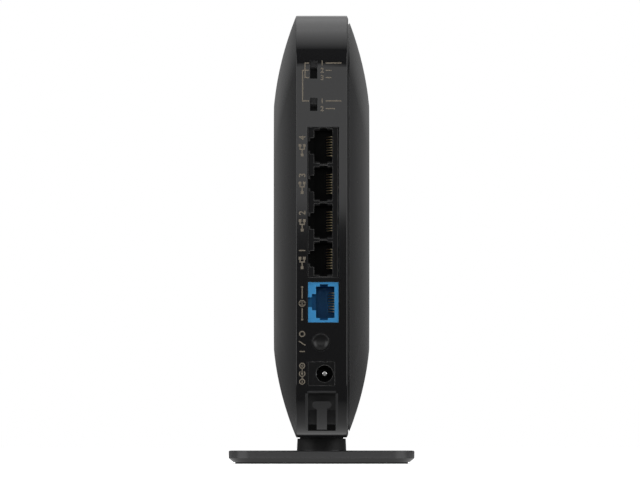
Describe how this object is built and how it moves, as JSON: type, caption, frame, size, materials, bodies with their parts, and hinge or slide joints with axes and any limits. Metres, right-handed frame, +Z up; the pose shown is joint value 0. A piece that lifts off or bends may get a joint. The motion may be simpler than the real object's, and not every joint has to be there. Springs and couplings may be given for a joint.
{
  "type": "wireless router",
  "caption": "Slim upright wireless router with rounded flanks, a rear panel of network sockets, slide switches, a power button and inlet, on a sliding flat stand.",
  "frame": {"origin": "on the table, under the middle of the body", "axes": "+X across the thin body, +Y from the socket panel to the front, +Z up"},
  "size_m": [0.0706, 0.161, 0.17],
  "materials": {
    "shell_black": "glossy rim band, satin flanks",
    "stand_black": "satin moulding",
    "pad_rubber": "matt",
    "board_green": "solder mask",
    "screw_steel": "zinc plated",
    "jack_black": "fine matt moulding",
    "jack_blue": "satin moulding",
    "contact_gold": "gold plated",
    "contact_nickel": "nickel plated",
    "button_black": "polished",
    "knob_black": "matt",
    "switch_black": "matt",
    "switch_white": "satin",
    "spring_steel": "drawn wire",
    "lamp_green": "clear resin",
    "guide_clear": "clear moulding",
    "chip_black": "moulded resin",
    "pad_grey": "soft silicone",
    "sink_aluminium": "extruded",
    "shield_tin": "tinned",
    "capacitor_can": "satin can",
    "inductor_grey": "ferrite",
    "antenna_board": "solder mask",
    "lead_black": "satin jacket"
  },
  "bodies": {
    "case": {"main_case": "shell_black", "side_cover": "shell_black", "cover_screws": "screw_steel", "main_board": "board_green", "board_screws": "screw_steel", "lan_jack": "jack_black", "lan_contacts": "contact_gold", "internet_jack": "jack_blue", "internet_contacts": "contact_gold", "dc_jack": "jack_black", "dc_centre_pin": "contact_nickel", "dc_leaf_contact": "contact_nickel", "power_switch": "switch_black", "power_spring": "spring_steel", "mode_switch": "switch_black", "auto_switch": "switch_black", "wps_switch": "switch_black", "reset_switch": "switch_black", "status_lamps": "lamp_green", "light_guide": "guide_clear", "main_chip": "chip_black", "chip_pad": "pad_grey", "heat_sink": "sink_aluminium", "heat_sink_pins": "switch_white", "heat_spreader": "sink_aluminium", "spreader_pad": "pad_grey", "memory_chips": "chip_black", "radio_chips": "chip_black", "radio_shields": "shield_tin", "line_transformers": "chip_black", "capacitors": "capacitor_can", "inductors": "inductor_grey", "crystals": "shield_tin", "antennas": "antenna_board", "antenna_leads": "lead_black", "antenna_plugs": "contact_gold"},
    "stand": {"stand": "stand_black", "stand_pad": "pad_rubber"},
    "power_button": {"power_button": "button_black", "power_plunger": "switch_white"},
    "mode_knob": {"mode_knob": "knob_black"},
    "auto_knob": {"auto_knob": "knob_black"},
    "wps_button": {"wps_button": "button_black", "wps_switch_stem": "switch_white"},
    "reset_stem": {"reset_switch_stem": "switch_white"}
  },
  "joints": [
    {"name": "stand_slide", "type": "slide", "parent": "case", "child": "stand", "axis": [0, 1, 0], "range_m": [0, 0.0074]},
    {"name": "power_press", "type": "slide", "parent": "case", "child": "power_button", "axis": [0, 1, 0], "range_m": [0, 0.0023], "stiffness_N_per_m": 700, "springref_m": -0.001, "deforming": ["power_spring"]},
    {"name": "mode_slide", "type": "slide", "parent": "case", "child": "mode_knob", "axis": [0, 0, -1], "range_m": [0, 0.00425]},
    {"name": "auto_slide", "type": "slide", "parent": "case", "child": "auto_knob", "axis": [0, 0, -1], "range_m": [0, 0.0024]},
    {"name": "wps_press", "type": "slide", "parent": "case", "child": "wps_button", "axis": [0, -1, 0], "range_m": [0, 0.0005], "stiffness_N_per_m": 3000},
    {"name": "reset_press", "type": "slide", "parent": "case", "child": "reset_stem", "axis": [0, 0, 1], "range_m": [0, 0.0003], "stiffness_N_per_m": 5000}
  ]
}
